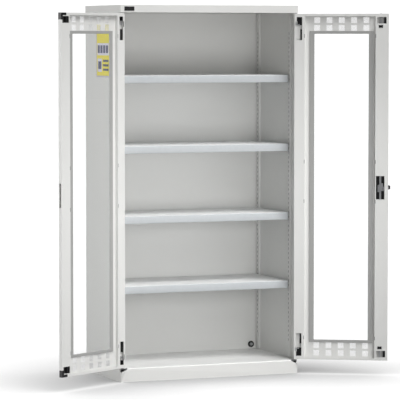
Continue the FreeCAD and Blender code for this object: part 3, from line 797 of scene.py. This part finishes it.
# %% Helpers for rows of heads
socket_share = 0.5


def heads(name, places, radius, height, material, body, socket=False):
    """A piece of domed heads, one on each place."""
    mesh = grown_mesh(name, facing_points(places), head_tree, {
        "Radius": radius, "Height": height, "Socket": socket, "Socket radius": radius * socket_share,
        "Material": material})
    add_piece(name, mesh, body)
    print(name, len(places), "heads,", len(mesh.polygons), "faces")


def even_row(first, last, pitch):
    """Evenly spaced values from first to last, at about the wanted pitch."""
    count = max(1, round((last - first) / pitch))
    return [first + (last - first) * k / count for k in range(count + 1)]


# %% Rivets on the back wall
rivet_radius = 0.0032
rivet_height = 0.0014
rivet_pitch = 0.15
rivet_inset = 0.012
wall_low, wall_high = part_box("back_panel")
wall_x = (wall_low.x + rivet_inset, wall_high.x - rivet_inset)
wall_z = (wall_low.z + rivet_inset, wall_high.z - rivet_inset)
rivet_spots = [(x, wall_high.y, z) for z in even_row(*wall_z, rivet_pitch) for x in wall_x]
rivet_spots += [(x, wall_high.y, z) for x in even_row(*wall_x, rivet_pitch)[1:-1] for z in wall_z]
rivet_places = [(spot, (0, 1, 0)) for spot in rivet_spots]
heads("back_rivets", rivet_places, rivet_radius, rivet_height, grey_paint, "cabinet")

# %% Rivets on the posts
post_rows = ("front", "rear")
post_inset = 0.04
post_places = []
for side, inward in (("left", 1), ("right", -1)):
    for row in post_rows:
        low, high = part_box(side + "_" + row + "_post")
        x = high.x if side == "left" else low.x
        for z in (low.z + post_inset, high.z - post_inset):
            post_places.append(((x, (low.y + high.y) / 2, z), (inward, 0, 0)))
heads("post_rivets", post_places, rivet_radius, rivet_height, grey_paint, "cabinet")

# %% Screws in the handle's plate
screw_radius = 0.0045
screw_height = 0.0024
screw_inset = 0.014
plate_low, plate_high = closed_box("right", "handle_plate")
outward = (swing("right").to_3x3() @ Vector((0, -1, 0))).normalized()
screw_places = []
for z in (plate_low.z + screw_inset, plate_high.z - screw_inset):
    spot = Vector(((plate_low.x + plate_high.x) / 2, plate_low.y, z))
    screw_places.append((swing("right") @ spot, outward))
heads("plate_screws", screw_places, screw_radius, screw_height, zinc_plate, "right_door", True)

# %% [markdown]
# ## The glazing bead
# A soft bead seals each pane against the edge of the window, on the inner side. It is a small round
# section that follows a rectangle with rounded corners. A curve with a bevel would do, and the tree
# does the same with named sizes for both doors.

# %% Geometry Nodes tree for a bead
def bead_run():
    tree, enter, leave = geometry_tree("bead_run", [
        ("Width", "Float", 0.3), ("Height", "Float", 1.6), ("Corner", "Float", 0.004),
        ("Bead radius", "Float", 0.0015)])
    ring = place(tree, "GeometryNodeCurvePrimitiveQuadrilateral", {
        "Width": enter["Width"], "Height": enter["Height"]})
    soft = place(tree, "GeometryNodeFilletCurve", {
        "Curve": ring.outputs["Curve"], "Radius": enter["Corner"], "Count": 4}, mode="POLY")
    section = place(tree, "GeometryNodeCurvePrimitiveCircle", {
        "Resolution": 10, "Radius": enter["Bead radius"]})
    tube = place(tree, "GeometryNodeCurveToMesh", {
        "Curve": soft.outputs["Curve"], "Profile Curve": section.outputs["Curve"]})
    close_tree(tree, leave, tube.outputs["Mesh"], enter["Material"])
    return tree


bead_tree = bead_run()
print("tree:", bead_tree.name, "with", len(bead_tree.nodes), "nodes")

# %% Beads on both doors
bead_radius = 0.0016
bead_corner = 0.004
upright_turn = Matrix.Rotation(math.pi / 2, 4, "X")


def window_opening(side):
    """Middle, width and height of the window: the inner edge of the glazing frame."""
    points = closed_points(side, side + "_glazing_frame")
    middle_x = sum(p.x for p in points) / len(points)
    middle_z = sum(p.z for p in points) / len(points)
    width = 2 * min(abs(p.x - middle_x) for p in points)
    height = 2 * min(abs(p.z - middle_z) for p in points)
    return middle_x, middle_z, width, height


def window_bead(side, name, depth):
    """A bead round the window at a depth on the closed door, swung out with the door."""
    middle_x, middle_z, width, height = window_opening(side)
    mesh = grown_mesh(name, bpy.data.meshes.new("seed"), bead_tree, {
        "Width": width, "Height": height, "Corner": bead_corner, "Bead radius": bead_radius,
        "Material": glazing_rubber})
    mesh.transform(swing(side) @ Matrix.Translation((middle_x, depth, middle_z)) @ upright_turn)
    mesh.shade_smooth()
    print(name, "round a window of", round(width, 4), "by", round(height, 4), "m")
    add_piece(name, mesh, side + "_door")


for side in sides:
    pane_back = closed_box(side, side + "_window_pane")[1]
    window_bead(side, side + "_inner_bead", pane_back.y)

# %% [markdown]
# ## Gauze in the vents
# Fine wire gauze closes the square vents of each door, so that light comes through them only in
# part. A bump map could hint at the wires, but real wires also show from the side and let real
# light through. The tree lays one wire along each of two lines of points, upright and level.

# %% Geometry Nodes tree for gauze
def wire_layer(tree, enter, span, length, across, turn, lift):
    """Wires of one length, side by side over a span."""
    pitch = enter["Pitch"]
    steps = arithmetic(tree, "FLOOR", arithmetic(tree, "DIVIDE", span, pitch), 0.0)
    first = arithmetic(tree, "MULTIPLY", arithmetic(tree, "MULTIPLY", steps, pitch), -0.5)
    row = place(tree, "GeometryNodeMeshLine", {
        "Count": arithmetic(tree, "ADD", steps, 1.0),
        "Start Location": vector(tree, **{across: first, "Z": lift}),
        "Offset": vector(tree, **{across: pitch})})
    wire = place(tree, "GeometryNodeMeshCylinder", {
        "Vertices": 5, "Radius": enter["Wire radius"], "Depth": length})
    laid = place(tree, "GeometryNodeTransform", {"Geometry": wire.outputs["Mesh"], "Rotation": turn})
    return place(tree, "GeometryNodeInstanceOnPoints", {
        "Points": row.outputs["Mesh"], "Instance": laid.outputs["Geometry"]}).outputs["Instances"]


def wire_gauze():
    """Upright wires with a layer of level wires on them."""
    tree, enter, leave = geometry_tree("wire_gauze", [
        ("Width", "Float", 0.3), ("Height", "Float", 0.08), ("Pitch", "Float", 0.003),
        ("Wire radius", "Float", 0.0004)])
    quarter = math.pi / 2
    width, height = enter["Width"], enter["Height"]
    upright = wire_layer(tree, enter, width, height, "X", (quarter, 0.0, 0.0), 0.0)
    level = wire_layer(tree, enter, height, width, "Y", (0.0, quarter, 0.0), enter["Wire radius"])
    both = place(tree, "GeometryNodeJoinGeometry")
    for wires in (upright, level):
        feed(tree, both.inputs["Geometry"], wires)
    close_tree(tree, leave, both.outputs["Geometry"], enter["Material"])
    return tree


gauze_tree = wire_gauze()
print("tree:", gauze_tree.name, "with", len(gauze_tree.nodes), "nodes")

# %% Gauze on both doors
sheet = 0.001
gauze_pitch = 0.0012
gauze_wire = 0.0002
gauze_half_width = 0.154


def vent_gauze(side, low_z, high_z):
    """Two wires deep, held in the thickness of the skin."""
    skin_low, skin_high = closed_box(side, side + "_door_skin")
    mesh = grown_mesh(side + "_gauze", bpy.data.meshes.new("seed"), gauze_tree, {
        "Width": 2 * gauze_half_width, "Height": high_z - low_z, "Pitch": gauze_pitch,
        "Wire radius": gauze_wire, "Material": galvanised_sheet})
    depth = skin_low.y + sheet / 2 + gauze_wire / 2
    middle = Vector(((skin_low.x + skin_high.x) / 2, depth, (low_z + high_z) / 2))
    mesh.transform(swing(side) @ Matrix.Translation(middle) @ upright_turn)
    return mesh


def joined(name, meshes):
    """One mesh from several that share a material."""
    shape = bmesh.new()
    whole = bpy.data.meshes.new(name)
    whole.materials.append(meshes[0].materials[0])
    for mesh in meshes:
        shape.from_mesh(mesh)
        bpy.data.meshes.remove(mesh)
    shape.to_mesh(whole)
    shape.free()
    return whole


for side in sides:
    stiff_low, stiff_high = closed_box(side, side + "_hinge_stiffener")
    rim_low, rim_high = closed_box(side, side + "_glazing_frame")
    upper = vent_gauze(side, rim_high.z + sheet, stiff_high.z - sheet)
    lower = vent_gauze(side, stiff_low.z + sheet, rim_low.z - sheet)
    mesh = joined(side + "_vent_gauze", (upper, lower))
    add_piece(side + "_vent_gauze", mesh, side + "_door")
    print(side, "gauze:", len(mesh.polygons), "faces")

# %% [markdown]
# ## Dark pockets in the doors
# Behind the cut-outs of a stiffener lie shallow black pockets round the hinge pins, and black inserts
# in the free corners. The cut-outs look almost black because of them. Farther along the cut-outs,
# dark boxes are painted shade for the shaded inside of the stiffener, and dark trays in the left
# door's free corners are painted shade too. They are flat trays built from a few rounded boxes, drawn
# on the closed door and swung out with it.

# %% Helpers for rounded boxes
def soft_box(shape, low, high, radius):
    """Add a box with rounded edges to a bmesh."""
    corners = bmesh.ops.create_cube(shape, size=1.0)["verts"]
    size = high - low
    centre = (high + low) / 2
    for vertex in corners:
        vertex.co = centre + Vector([c * s for c, s in zip(vertex.co, size)])
    edges = list({edge for vertex in corners for edge in vertex.link_edges})
    bmesh.ops.bevel(shape, geom=edges, offset=radius, segments=2, profile=0.5, affect="EDGES")


def boxes_mesh(name, boxes, radius, material, turn=Matrix()):
    """One mesh of several rounded boxes, given by their corners."""
    shape = bmesh.new()
    for low, high in boxes:
        soft_box(shape, low, high, radius)
    shape.transform(turn)
    mesh = bpy.data.meshes.new(name)
    shape.to_mesh(mesh)
    shape.free()
    mesh.materials.append(material)
    return mesh


def box_between(x, y, z):
    """Lowest and highest corner of a box, from its stretch along each axis."""
    return Vector((x[0], y[0], z[0])), Vector((x[1], y[1], z[1]))


# %% Helpers for boxes on a closed door
def door_box(side, across, depth, height):
    """Corners of a box on the closed door: across from the hinge edge, depth from the outer face."""
    low, high = closed_box(side, side + "_door_skin")
    if side == "left":
        x = (low.x + across[0], low.x + across[1])
    else:
        x = (high.x - across[1], high.x - across[0])
    return box_between(x, (low.y + depth[0], low.y + depth[1]), height)


def from_both_ends(side, start, stop):
    """Heights of a stretch that lies start..stop from the top edge of the door, and its mirror image."""
    low, high = closed_box(side, side + "_door_skin")
    return (high.z - stop, high.z - start), (low.z + start, low.z + stop)


def add_door_boxes(side, name, boxes, radius, material):
    """A piece of rounded boxes, drawn on the closed door and swung out with it."""
    mesh = boxes_mesh(side + name, boxes, radius, material, swing(side))
    add_piece(side + name, mesh, side + "_door")


# %% Pockets behind the hinge cut-outs
pocket_floor = (0.00105, 0.0021)
pocket_walls = (0.00105, 0.018)
pocket_wall = 0.0008
pocket_edge = 0.0002
hinge_pocket = (0.0152, 0.0430)
hinge_wall = (hinge_pocket[1] - pocket_wall, hinge_pocket[1])
pin_stretch = (0.017, 0.062)
painted_shade_stretch = (0.084, 0.143)
painted_shade_across = {
    "left": (hinge_pocket[0], hinge_pocket[0] + pocket_wall),
    "right": (0.030, hinge_pocket[1]),
}
painted_shade_depth = {"left": pocket_walls, "right": pocket_floor}
for side in sides:
    boxes = []
    for height in from_both_ends(side, *pin_stretch):
        boxes.append(door_box(side, hinge_pocket, pocket_floor, height))
        boxes.append(door_box(side, hinge_wall, pocket_walls, height))
    # Farther from the pins the dark boxes are painted shade for the shaded inside of the stiffener.
    for height in from_both_ends(side, *painted_shade_stretch):
        boxes.append(door_box(side, painted_shade_across[side], painted_shade_depth[side], height))
    add_door_boxes(side, "_hinge_pockets_and_painted_shade", boxes, pocket_edge, black_plastic)
    print(side, "hinge pockets:", len(boxes), "boxes")

# %% Pockets in the free corners
corner_pocket = (0.446, 0.499)
corner_stretch = (0.017, 0.054)
insert_depth = (0.0021, 0.015)
corner_inserts = {"left": (0.446, 0.466), "right": (0.4845, 0.499)}
# This dark grey is painted shade: it stands in for hollows that lie in shade, not for a coat of primer.
painted_shade_grey = grained(
    "painted_shade_grey", (0.055, 0.055, 0.056, 1.0), tone=0.12, grain=800.0, roughness=0.6, top_layer=0.05,
    depth=0.00003)
corner_heights = from_both_ends("left", *corner_stretch)
# The trays in the left door's free corners are painted shade for the shaded pocket floor.
trays = [door_box("left", corner_pocket, pocket_floor, height) for height in corner_heights]
add_door_boxes("left", "_corner_painted_shade", trays, pocket_edge, painted_shade_grey)
for side in sides:
    heights = from_both_ends(side, *corner_stretch)
    inserts = [door_box(side, corner_inserts[side], insert_depth, height) for height in heights]
    add_door_boxes(side, "_corner_inserts", inserts, pocket_edge, black_plastic)
print("corner trays:", len(trays), "on the left door")

# %% [markdown]
# ## Dark slots in the posts
# The posts are slotted along their whole length, and the slots look dark because the inside of a
# post lies in shade. In so bright a room light still finds its way in, so a thin dark strip of
# painted shade stands a little behind the slots. Painting the posts darker would have changed their
# faces as well.

# %% Strips inside the posts
shade_strip_depth = (0.0032, 0.0038)
shade_strip_margin = 0.0015
shade_strips = []
for side in sides:
    for row in post_rows:
        low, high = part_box(side + "_" + row + "_post")
        if side == "left":
            x = (high.x - shade_strip_depth[1], high.x - shade_strip_depth[0])
        else:
            x = (low.x + shade_strip_depth[0], low.x + shade_strip_depth[1])
        shade_strips.append(box_between(x, (low.y + shade_strip_margin, high.y - shade_strip_margin), (low.z, high.z)))
# The strips are painted shade for the shaded inside of the posts.
mesh = boxes_mesh("post_slot_shade", shade_strips, pocket_edge, painted_shade_grey)
add_piece("post_slot_shade", mesh, "cabinet")
print("strips in the posts:", len(shade_strips))

# %% [markdown]
# ## Slots beside the windows
# Along the bends of the stiffeners a few narrow slots take the hooks that hold the glazing. They are
# shown as slim dark strips with round ends: painted shade for slots too narrow to see into.

# %% Slots along the stiffeners
slot_width = 0.0022
slot_length = 0.020
slot_proud = 0.0002
slot_edge = 0.00018
slot_heights = (0.198, 0.942, 1.156, 1.836)
slot_inset = 0.0016
stiffener_foot = 0.008


def reach_from_hinge(side, node):
    """Nearest and farthest distance of a door node from the hinge edge of the door."""
    skin_low, skin_high = closed_box(side, side + "_door_skin")
    low, high = closed_box(side, side + node)
    if side == "left":
        return low.x - skin_low.x, high.x - skin_low.x
    return skin_high.x - high.x, skin_high.x - low.x


def slot_lanes(side):
    """Where the slots lie, measured from the hinge edge: one lane on the bend of each stiffener."""
    hinge_bend = reach_from_hinge(side, "_hinge_stiffener")[1] - stiffener_foot - slot_inset
    lock_bend = reach_from_hinge(side, "_lock_stiffener")[0] + stiffener_foot + slot_inset
    return (hinge_bend - slot_width, hinge_bend), (lock_bend, lock_bend + slot_width)


# Each slot is a dark strip of painted shade, a fraction of a millimetre proud of the bend.
for side in sides:
    skin_low, skin_high = closed_box(side, side + "_door_skin")
    depth = skin_high.y - skin_low.y
    boxes = []
    for lane in slot_lanes(side):
        for z in slot_heights:
            height = (z - slot_length / 2, z + slot_length / 2)
            boxes.append(door_box(side, lane, (depth - slot_proud, depth + slot_proud), height))
    add_door_boxes(side, "_hook_slots", boxes, slot_edge, painted_shade_grey)
    print(side, "hook slots:", len(boxes))

# %% [markdown]
# ## Badge and card
# A small plain plate with a raised rim sits at the left of the fascia, and a card of A4 size hangs on
# the left side, where it shows through the open door's pane. An image could give the card its blocks
# of colour. Here the material works them out from height and depth, so that no image is needed.

# %% Badge plate
badge_x = (-0.490, -0.434)
badge_z = (1.969, 1.991)
badge_thickness = 0.0016
badge_rim = 0.0016
badge_edge = 0.0003
front_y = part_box("top_cap")[0].y
rim_y = (front_y - 1.3 * badge_thickness, front_y - 0.5 * badge_thickness)


def both_ends(span, width):
    """A stretch of this width at each end of a span."""
    return (span[0], span[0] + width), (span[1] - width, span[1])


badge_boxes = [box_between(badge_x, (front_y - badge_thickness, front_y), badge_z)]
badge_boxes += [box_between(badge_x, rim_y, z) for z in both_ends(badge_z, badge_rim)]
badge_boxes += [box_between(x, rim_y, badge_z) for x in both_ends(badge_x, badge_rim)]
badge_mesh = boxes_mesh("badge_plate", badge_boxes, badge_edge, black_plastic)
add_piece("badge_plate", badge_mesh, "cabinet")
print("badge:", len(badge_boxes), "boxes")

# %% Blocks of colour on the card
yellow = (0.95, 0.84, 0.10, 1.0)
olive = (0.30, 0.26, 0.06, 1.0)
slate = (0.10, 0.11, 0.20, 1.0)
lilac = (0.80, 0.78, 0.90, 1.0)
# Each block: its stretch across and its stretch upwards, as shares of the card, and its colour.
card_blocks = [
    ((0.04, 0.96), (0.03, 0.97), yellow),
    ((0.30, 0.70), (0.84, 0.93), olive),
    ((0.08, 0.92), (0.40, 0.62), lilac),
]
card_blocks += [((x, x + 0.15), (0.44, 0.58), slate) for x in (0.11, 0.31, 0.51, 0.71)]
card_blocks += [((0.10, 0.42), (0.10, 0.34), lilac), ((0.15, 0.37), (0.15, 0.29), slate)]
card_blocks += [((0.50, 0.90), (z, z + 0.04), slate) for z in (0.12, 0.20, 0.28)]
print("card blocks:", len(card_blocks))

# %% Card finish
card_shown = (0.85, 0.66, 0.08, 1.0)
card_border = (0.60, 0.58, 0.66, 1.0)
card_grain_depth = 0.00002
card_grain_strength = 0.3


def inside(tree, value, low, high):
    """1 where a value lies between two bounds."""
    above = arithmetic(tree, "GREATER_THAN", value, low)
    return arithmetic(tree, "MULTIPLY", above, arithmetic(tree, "LESS_THAN", value, high))


def printed_card(low, high, blocks):
    """A card with a border and blocks of colour, placed by depth and height on the cabinet's side."""
    material, tree, shader = finish_material("printed_card", card_shown)
    spot = place(tree, "ShaderNodeSeparateXYZ", {0: object_place(tree)}).outputs
    across = between(tree, spot["Y"], 0.0, 1.0, high.y, low.y)
    up = between(tree, spot["Z"], 0.0, 1.0, low.z, high.z)
    color = card_border
    for across_stretch, up_stretch, block in blocks:
        columns = inside(tree, across, *across_stretch)
        rows = inside(tree, up, *up_stretch)
        color = blended(tree, arithmetic(tree, "MULTIPLY", columns, rows), color, block)
    paper = effect(tree, "powder_grain", {"Color": color, "Tone": 0.04, "Grain": 900.0, "Roughness": 0.35})
    feed(tree, shader["Base Color"], paper["Color"])
    feed(tree, shader["Roughness"], paper["Roughness"])
    feed(tree, shader["Normal"], bumped(tree, paper["Height"], card_grain_depth, card_grain_strength))
    return material


# %% Card on the left side
card_y = (-0.111, 0.103)
card_z = (1.614, 1.910)
card_thickness = 0.0006
card_edge = 0.0002
side_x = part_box("left_side_panel")[0].x
card_low, card_high = box_between((side_x - card_thickness, side_x), card_y, card_z)
card_finish = printed_card(card_low, card_high, card_blocks)
card_mesh = boxes_mesh("side_card", [(card_low, card_high)], card_edge, card_finish)
add_piece("side_card", card_mesh, "cabinet")
print("card", round(card_high.y - card_low.y, 3), "by", round(card_high.z - card_low.z, 3), "m")
